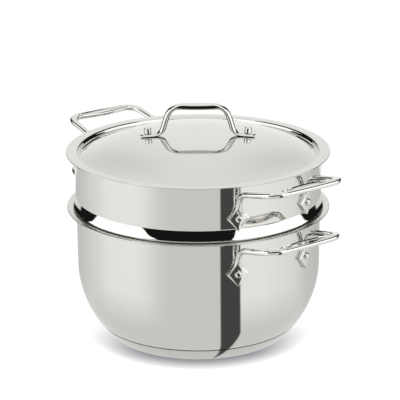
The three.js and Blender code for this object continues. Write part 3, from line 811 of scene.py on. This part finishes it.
def loop_points():
    """The loop in the plane of X and Z, with z = 0 on the lid's flange."""
    bar_level = LOOP_HEIGHT - BAR_HALF
    leg_top = np.array([LOOP_WIDTH / 2 - BAR_HALF, 0, bar_level])
    foot, tip = ear_point(leg_top[0] + LOOP_SPLAY), ear_point(EAR_REACH)
    down, out = unit(foot - leg_top), unit(tip - foot)
    bar_end = leg_top - np.array([LOOP_CORNER, 0, 0])
    leg_start, leg_end = leg_top + LOOP_CORNER * down, foot - FOOT_BEND * down
    ear_start = foot + FOOT_BEND * out
    bar_middle = np.array([0, 0, bar_level])
    stretches = [
        (np.array([bar_middle]), np.zeros(1)),
        line(bar_middle, bar_end, 10),
        bend(bar_end, leg_top, leg_start, 16),
        line(leg_start, leg_end, 10),
        bend(leg_end, foot, ear_start, 16),
        line(ear_start, tip, 24),
    ]
    middle, part, t = end_to_end(stretches)
    spread = np.where(part == 4, smoothstep(t, 0, 1), (part > 4) * 1.0)
    round_end = np.where(part == 5, end_share(t, *EAR_ROUND_END), 1)
    crown = np.where(part <= 1, (BAR_MIDDLE_HALF_DEPTH - BAR_HALF_DEPTH) * (1 - t**2), 0)
    width = (BAR_HALF_DEPTH + crown + (EAR_HALF_WIDTH - BAR_HALF_DEPTH) * spread) * round_end
    thin_end = np.where(part == 5, end_share(t, *EAR_THIN_END), 1)
    thickness = (BAR_HALF + (EAR_THICKNESS / 2 - BAR_HALF) * spread) * thin_end
    on_bar = np.where(part <= 2, 1 - smoothstep(middle[:, 0], *BAR_FLAT), 0)
    squareness = LEG_SQUARENESS + BAR_SQUARING * on_bar + EAR_SQUARING * spread
    lean = BAR_LEAN * on_bar + EAR_LEAN * spread
    face = np.repeat([[1.0, 0, 1.0]], len(middle), axis=0)
    points = symmetric_loft(np.array([-1, 1, 1]), middle, face, width, thickness, squareness, lean)
    half_length, half_width, depth = BAR_DISH
    on_top = points[..., 2] > bar_level
    return leaf_dish(points, points[..., 0] / half_length, points[..., 1] / half_width, on_top, depth)


loop = turned_about_axis(loop_points(), LID_TURN) + np.array([0, 0, LID_TOP])
add_loft("lid_handle", loop, "lid", cast_steel)

# %% [markdown]
# ## Rivets
# A rivet is a turned pin: its head shows outside, and its tail is upset flat against the inside of the wall.
# Each is a small body of revolution, made upright and then turned to point out through its pad or ear.

# %% Rivets
SHANK_RADIUS = 2.5
SIDE_HEAD_HEIGHT = 2.2
SIDE_HEAD_BEND = 2.1
LID_HEAD_HEIGHT = 5.5
LID_HEAD_BEND = 1.2
TAIL_RADIUS = 5.0
TAIL_HEIGHT = 1.2
TAIL_BEND = 0.96
TAIL_GAP = 0.7
RIVET_TURNS = 40
ASIDE = (0.3, 0.2, 0.9)


def rivet_points(head_height, head_bend, clamped):
    """A rivet along +Z, with the face that its head sits on at z = 0."""
    tail = -clamped - TAIL_GAP
    profile = bent_path([
        (0, tail - TAIL_HEIGHT, 0),
        (TAIL_RADIUS, tail - TAIL_HEIGHT, TAIL_BEND),
        (TAIL_RADIUS, tail, 0),
        (SHANK_RADIUS, tail, 0),
        (SHANK_RADIUS, 0, 0),
        (HEAD_RADIUS, 0, 0),
        (HEAD_RADIUS, head_height + FIT_GAP, head_bend),
        (0, head_height + FIT_GAP, 0),
    ])
    return revolve(profile, RIVET_TURNS)


def aimed(points, seat, way):
    """Points along +Z turned to point along a way, and moved to their seat."""
    way = unit(np.asarray(way, float))
    side = unit(np.cross(way, ASIDE))
    return np.asarray(seat) + points @ np.stack([side, np.cross(way, side), way])


def add_rivet(node, points, body):
    """A rivet that stands for one CAD node."""
    add_piece(node, *closed_grid(points), body, "rivet_steel", rivet_steel)


for vessel, (wall, sheet, lip, _) in VESSELS.items():
    pin = rivet_points(SIDE_HEAD_HEIGHT, SIDE_HEAD_BEND, PAD_FACE + sheet)
    pad_angle = math.asin(PAD_SPACING / 2 / wall)
    for side, turn in SIDES.items():
        for sign in (1, -1):
            angle = turn + sign * pad_angle
            way = np.array([math.cos(angle), math.sin(angle), 0])
            seat = way * (wall + PAD_FACE) + np.array([0, 0, lip - RIVET_DROP])
            end = "rear" if way[1] > 0 else "front"
            add_rivet(f"{vessel}_rivet_{side}_{end}", aimed(pin, seat, way), vessel)

lid_pin = rivet_points(LID_HEAD_HEIGHT, LID_HEAD_BEND, FIT_GAP + EAR_THICKNESS + LID_WALL)
slope = DOME_POWER * dome_fall / dome_radius * (EAR_RIVET / dome_radius) ** (DOME_POWER - 1)
for side, sign in (("right", 1), ("left", -1)):
    way = unit(np.array([sign * slope, 0, 1]))
    seat = np.array([sign * EAR_RIVET, 0, dome_height(EAR_RIVET) + LID_TOP]) + way * (FIT_GAP + EAR_THICKNESS)
    add_rivet(f"lid_rivet_{side}", turned_about_axis(aimed(lid_pin, seat, way), LID_TURN), "lid")

# %% [markdown]
# ## The camera
# The picture is taken with a long lens from a little above, so the rims are flat ellipses. The handles' axis
# is turned away from the viewer, and the lid was set down with its loop square to the camera.

# %% Camera
AZIMUTH = math.radians(52.97)
ELEVATION = math.radians(18.03)
ROLL = math.radians(0.30)
DISTANCE = 1.8211
LOOK_AT_HEIGHT = 0.13526
SENSOR = 36.0
FOCAL_PIXELS = 1820.2
PICTURE = 400.0
AXIS_LEFT_OF_MIDDLE = 1.74
CLIP_END = 50

toward = np.array([math.sin(AZIMUTH), -math.cos(AZIMUTH), 0])
rightward = np.array([math.cos(AZIMUTH), math.sin(AZIMUTH), 0])
upward = np.array([0, 0, 1.0])
from_pot = math.cos(ELEVATION) * toward + math.sin(ELEVATION) * upward
lens = bpy.data.cameras.new("camera")
lens.sensor_width = SENSOR
lens.lens = SENSOR * FOCAL_PIXELS / PICTURE
lens.shift_x = AXIS_LEFT_OF_MIDDLE / PICTURE
lens.clip_end = CLIP_END
camera = add_object("camera", lens)
camera.location = DISTANCE * from_pot + LOOK_AT_HEIGHT * upward
camera.rotation_euler = (math.pi / 2 - ELEVATION, 0, AZIMUTH)
camera.rotation_euler.rotate_axis("Z", -ROLL)
bpy.context.scene.camera = camera
print("lens", round(lens.lens, 1), "mm")

# %% [markdown]
# ## The studio
# A mirror has no look of its own, so its studio is part of the picture. The floor is pale and carries only
# the soft shadow. Round it stands a white room with cards that only reflections can see: one for the walls,
# one for the bead, one behind the pot for the lid, and two small dark flags close to the pot.
# A card could be placed by trial, but it is easier to ask where the polished wall looks: a ray that comes
# from the camera along v and meets a wall with normal n leaves along v - 2 (v . n) n. So each point of a card
# is a point of the wall, followed along its reflection, and the card's bands come out straight on the pot.

# %% Cards
CARD_REACH = 6.0
CARD_MIDDLE = np.array([0, 0, 0.1])
CARD_COLOUR = (1.0, 1.0, 0.985, 1.0)
EDGE_SOFTNESS = 0.006
ROOM_LEVEL = 1.0
CARD_ROWS = 61
CARD_COLUMNS = 241
WALL_EDGE = 0.9999
view_way = -from_pot


def card_places(low, high):
    """A grid of places: across runs over the vessel's width, from -1 to 1, and rise from low to high."""
    rises, angles = np.linspace(low, high, CARD_ROWS), np.linspace(-90, 90, CARD_COLUMNS)
    rise, angle = np.meshgrid(rises, angles, indexing="ij")
    return WALL_EDGE * np.sin(np.radians(angle)), rise


def card_ways(across, tilt):
    """Where a polished wall looks from those places: along the reflection of the view about its normal,
    cos(tilt) * level + sin(tilt) * up, with the tilt in degrees. Also gives the level way out of the wall."""
    lean = np.radians(tilt)[..., None]
    level = np.sqrt(1 - across**2)[..., None] * toward + across[..., None] * rightward
    normal = np.cos(lean) * level + np.sin(lean) * upward
    away = view_way - 2 * np.sum(normal * view_way, axis=-1, keepdims=True) * normal
    return away, level


def far_points(across, tilt):
    """Points of a far card: from the vessels' middle along those ways, as far as its reach."""
    return CARD_MIDDLE + CARD_REACH * card_ways(across, tilt)[0]


def card_finish(name, dark, one_sided):
    """A card that glows by its level layer where its lit layer is over 0, and is dark where that is under 0.
    The back of a one-sided card is clear."""
    material, tree = new_material(name)
    tree.nodes.clear()
    level = add_node(tree, "ShaderNodeAttribute", attribute_name="level")
    lit = add_node(tree, "ShaderNodeAttribute", attribute_name="lit")
    share = map_range(tree, lit, "Fac", -EDGE_SOFTNESS, EDGE_SOFTNESS, 0, 1)
    mixed = add_node(tree, "ShaderNodeMix", data_type="FLOAT")
    mixed.inputs["A"].default_value = dark
    link(tree, share, "Result", mixed, "Factor")
    link(tree, level, "Fac", mixed, "B")
    glow = add_node(tree, "ShaderNodeEmission", Color=CARD_COLOUR)
    link(tree, mixed, "Result", glow, "Strength")
    out = add_node(tree, "ShaderNodeOutputMaterial")
    if one_sided:
        back = add_node(tree, "ShaderNodeNewGeometry")
        clear = add_node(tree, "ShaderNodeBsdfTransparent")
        sides = add_node(tree, "ShaderNodeMixShader")
        link(tree, back, "Backfacing", sides, 0)
        link(tree, glow, "Emission", sides, 1)
        link(tree, clear, "BSDF", sides, 2)
        link(tree, sides, "Shader", out, "Surface")
    else:
        link(tree, glow, "Emission", out, "Surface")
    material.cycles.emission_sampling = "NONE"
    return material


def add_card(name, points, level, lit, dark, one_sided=False):
    """A card for reflections only: it lights nothing, and the camera doesn't see it."""
    mesh = bpy.data.meshes.new(name)
    mesh.from_pydata(points.reshape(-1, 3).tolist(), [], grid_quads(*points.shape[:2], closed=False).tolist())
    add_layers(mesh, {"level": level, "lit": lit})
    mesh.materials.append(card_finish(name, dark, one_sided))
    card = add_object(name, mesh)
    for ray in ("camera", "diffuse", "shadow", "transmission"):
        setattr(card, "visible_" + ray, False)


# %% [markdown]
# The wall's card is a soft set of bands that fade out below, where the belly turns to the floor, and one
# narrow dark strip with crisp edges. The strip's edges are two lines in the plane of across and tilt, and the
# lit layer is the distance to the nearer one. The card above it does the same with two white windows, for the
# hollow bead, and is as pale as the room between them.

# %% Wall card
WALL_BANDS = [
    (-1.0, 0.58), (-0.95, 0.70), (-0.92, 0.77), (-0.86, 0.90), (-0.80, 0.98), (-0.73, 1.12), (-0.54, 1.16),
    (-0.46, 1.12), (-0.40, 1.04), (-0.33, 0.91), (-0.26, 0.83), (-0.18, 0.80), (0.20, 0.80), (0.30, 1.14),
    (0.52, 1.14), (0.65, 1.07), (0.74, 1.02), (0.80, 0.92), (0.86, 0.78), (0.93, 0.68), (1.0, 0.56),
]
STRIP = [
    (-49, 0.110, 0.112), (-42, 0.154, 0.200), (-34.5, 0.172, 0.270), (-29, 0.172, 0.310), (-25, 0.172, 0.331),
    (4, 0.172, 0.331),
]
CENTRE_LEVEL = 0.80
STRIP_LEVEL = 0.075
BAND_FADE = (-24.0, 3.0)
WALL_TILTS = (-62, 4)

across, tilt = card_places(*WALL_TILTS)
belly_share = (belly_middle + BELLY_RADIUS * np.cos(np.radians(np.minimum(tilt, 0)))) / POT_RADIUS
place = across * belly_share
fade = np.clip((tilt - BAND_FADE[0]) / (BAND_FADE[1] - BAND_FADE[0]), 0, 1)
bands = np.interp(across, *zip(*WALL_BANDS))
bands = np.minimum(bands, CENTRE_LEVEL + (bands - CENTRE_LEVEL) * fade)
strip_left, strip_right = (np.interp(tilt, *zip(*[(row[0], row[k]) for row in STRIP])) for k in (1, 2))
outside = np.maximum(strip_left - place, place - strip_right)
add_card("wall_card", far_points(across, tilt), bands, outside, STRIP_LEVEL)

# %% Bead card
WINDOWS = [
    (5, -0.800, -0.450, 0.300, 0.810),
    (7, -0.800, -0.450, 0.300, 0.810),
    (15, -0.826, -0.394, 0.282, 0.830),
    (20, -0.857, -0.328, 0.261, 0.853),
    (25, -0.885, -0.270, 0.240, 0.872),
    (34, -0.770, -0.280, 0.280, 0.770),
]
CEILING = [(0.0, 34.0), (0.46, 34.0), (0.54, 57.0), (0.85, 61.0), (0.93, 57.0), (1.0, 52.0)]
CARD_START = 5.5
WINDOW_TOP = 34.0
WINDOW_LEVEL = 1.6
DARK_LEVEL = 0.01
BETWEEN_OVERLAP = 0.1
SIDE_START = 0.94
SIDE_TOP = 13.0
SIDE_LEVEL = 0.8
SIDE_OVERLAP = 0.03

across, share = card_places(0, 1)
tilt = CARD_START + (np.interp(np.abs(across), *zip(*CEILING)) - CARD_START) * share
edge_tilts, *edges = np.array(WINDOWS).T
left_from, left_to, right_from, right_to = (np.interp(tilt, edge_tilts, edge) for edge in edges)
in_left = np.minimum(across - left_from, left_to - across)
in_right = np.minimum(across - right_from, right_to - across)
between = np.minimum(across - left_to, right_from - across)
windows = np.maximum(in_left, in_right)
inside = np.minimum(np.maximum(windows, between + BETWEEN_OVERLAP), np.radians(WINDOW_TOP - tilt))
beside = np.minimum(np.abs(across) - SIDE_START, np.radians(SIDE_TOP - tilt))
level = np.where(between > 0, ROOM_LEVEL, WINDOW_LEVEL)
level = np.where(np.abs(across) > SIDE_START - SIDE_OVERLAP, SIDE_LEVEL, level)
add_card("bead_card", far_points(across, tilt), level, np.maximum(inside, beside), DARK_LEVEL)

# %% [markdown]
# A dark patch on a far card would darken all the steel that looks that way. So what only one small place
# mirrors hangs close to it, as a flag: one over the pot's lip for the dark patch on the bead, and one in
# front of the lid's loop for the line on its bar. A flag is dark on one face and clear on the other, so the
# steel behind it doesn't mirror it. The bead's flag slopes: a ray that leaves the bead along w meets it after
# over / (w.z + slope * the length of w's level part).

# %% Flags
FLAG_TOP = 25.0
FLAG_FROM = (0.125, 0.14)
FLAG_OVER = 0.10
FLAG_SLOPE = 0.176
BAR_FLAG_AT = 0.10
BAR_FLAG_HALF = 0.05
BAR_FLAG_HEIGHTS = (0.205, 0.25)


def add_flag(name, points):
    """A card that is dark all over its front, and clear from behind."""
    unlit = np.zeros(points.shape[:2])
    add_card(name, points, unlit, unlit - 1, DARK_LEVEL, one_sided=True)


flag_tilts = np.linspace(CARD_START, FLAG_TOP, CARD_ROWS)
tilt, share = np.meshgrid(flag_tilts, np.linspace(1, 0, CARD_ROWS), indexing="ij")
left_to, right_from = (np.interp(tilt, edge_tilts, edge) for edge in edges[1:3])
across = left_to + share * (right_from - left_to)
away, level_way = card_ways(across, tilt)
reach = FLAG_OVER / (away[..., 2:] + FLAG_SLOPE * np.hypot(away[..., :1], away[..., 1:2]))
add_flag("bead_flag", FLAG_FROM[0] * level_way + FLAG_FROM[1] * upward + reach * away)

height, sideways = np.meshgrid(BAR_FLAG_HEIGHTS, (BAR_FLAG_HALF, -BAR_FLAG_HALF), indexing="ij")
add_flag("bar_flag", BAR_FLAG_AT * toward + sideways[..., None] * rightward + height[..., None] * upward)

# %% [markdown]
# The lid looks at the wall behind the pot. Two soft shades stand there, left and right of the middle, and
# draw the dome's roundness. Each is a Gaussian hill in the plane of azimuth and elevation, taken away from 1.

# %% Back card
SHADE_DEPTH = 0.15
SHADE_AT = (18.0, 32.0)
SHADE_SIZE = (9.0, 18.0)
BACK_REACH = 6.5
BACK_ELEVATIONS = np.linspace(-8, 80, 45)
BACK_AZIMUTHS = np.linspace(-50, 50, 101)

elevation, azimuth = np.meshgrid(BACK_ELEVATIONS, BACK_AZIMUTHS, indexing="ij")
beside = (np.abs(azimuth) - SHADE_AT[0]) / SHADE_SIZE[0]
above = (elevation - SHADE_AT[1]) / SHADE_SIZE[1]
back_level = ROOM_LEVEL * (1 - SHADE_DEPTH * np.exp(-(beside**2 + above**2)))
turn, climb = np.radians(azimuth)[..., None], np.radians(elevation)[..., None]
back_way = np.cos(climb) * (np.sin(turn) * rightward - np.cos(turn) * toward) + np.sin(climb) * upward
add_card("back_card", CARD_MIDDLE + BACK_REACH * back_way, back_level, np.ones_like(back_level), DARK_LEVEL)

# %% [markdown]
# The floor is matt and pale. For the camera it is white, and only what stands close over it takes light away.
# That is what ambient occlusion measures, so its share, within two centimetres, tints the narrow contact
# shadow, which grows darker towards the front.

# %% Floor and light
FLOOR_HALF = 4.0
FLOOR_COLOUR = (0.86, 0.86, 0.84, 1.0)
SHADE_COLOUR = (0.26, 0.26, 0.285, 1.0)
WHITE = (1.04, 1.04, 1.04, 1.0)
SHADE_REACH = 0.019
SHADE_AHEAD = (0.0, 0.075)
SHADE_PALEST = 0.85
SHADE_SAMPLES = 24
OPEN_RANGE = (0.15, 0.98)
ROOM_COLOUR = (1.0, 1.0, 0.99, 1.0)


def floor_finish():
    """Matt pale floor: for the camera, white that darkens where the pot stands close over it."""
    material, tree = new_material("studio_floor")
    tree.nodes.clear()
    matt = add_node(tree, "ShaderNodeBsdfDiffuse", Color=FLOOR_COLOUR)
    open_share = add_node(tree, "ShaderNodeAmbientOcclusion", samples=SHADE_SAMPLES, Distance=SHADE_REACH)
    place = add_node(tree, "ShaderNodeTexCoord")
    ahead = add_node(tree, "ShaderNodeVectorMath", operation="DOT_PRODUCT")
    ahead.inputs[1].default_value = toward
    link(tree, place, "Object", ahead, 0)
    dark_end = map_range(tree, ahead, "Value", *SHADE_AHEAD, SHADE_PALEST, 0)
    shade = map_range(tree, open_share, "AO", *OPEN_RANGE, 0, 1)
    link(tree, dark_end, "Result", shade, "To Min")
    tint = add_node(tree, "ShaderNodeMix", data_type="RGBA")
    tint.inputs["A"].default_value = SHADE_COLOUR
    tint.inputs["B"].default_value = WHITE
    link(tree, shade, "Result", tint, "Factor")
    glow = add_node(tree, "ShaderNodeEmission")
    link(tree, tint, "Result", glow, "Color")
    ray = add_node(tree, "ShaderNodeLightPath")
    seen = add_node(tree, "ShaderNodeMixShader")
    link(tree, ray, "Is Camera Ray", seen, 0)
    link(tree, matt, "BSDF", seen, 1)
    link(tree, glow, "Emission", seen, 2)
    out = add_node(tree, "ShaderNodeOutputMaterial")
    link(tree, seen, "Shader", out, "Surface")
    material.cycles.emission_sampling = "NONE"
    return material


floor_mesh = bpy.data.meshes.new("studio_floor")
floor_corners = np.array([(-1, -1, 0), (1, -1, 0), (1, 1, 0), (-1, 1, 0)]) * FLOOR_HALF
floor_mesh.from_pydata(floor_corners.tolist(), [], [(0, 1, 2, 3)])
floor_mesh.materials.append(floor_finish())
floor = add_object("studio_floor", floor_mesh)
floor.visible_glossy = False

world = bpy.data.worlds.new("studio_room")
bpy.context.scene.world = world
world.use_nodes = True
room = world.node_tree.nodes["Background"]
room.inputs["Color"].default_value = ROOM_COLOUR
room.inputs["Strength"].default_value = ROOM_LEVEL
bpy.context.scene.view_settings.view_transform = "Standard"
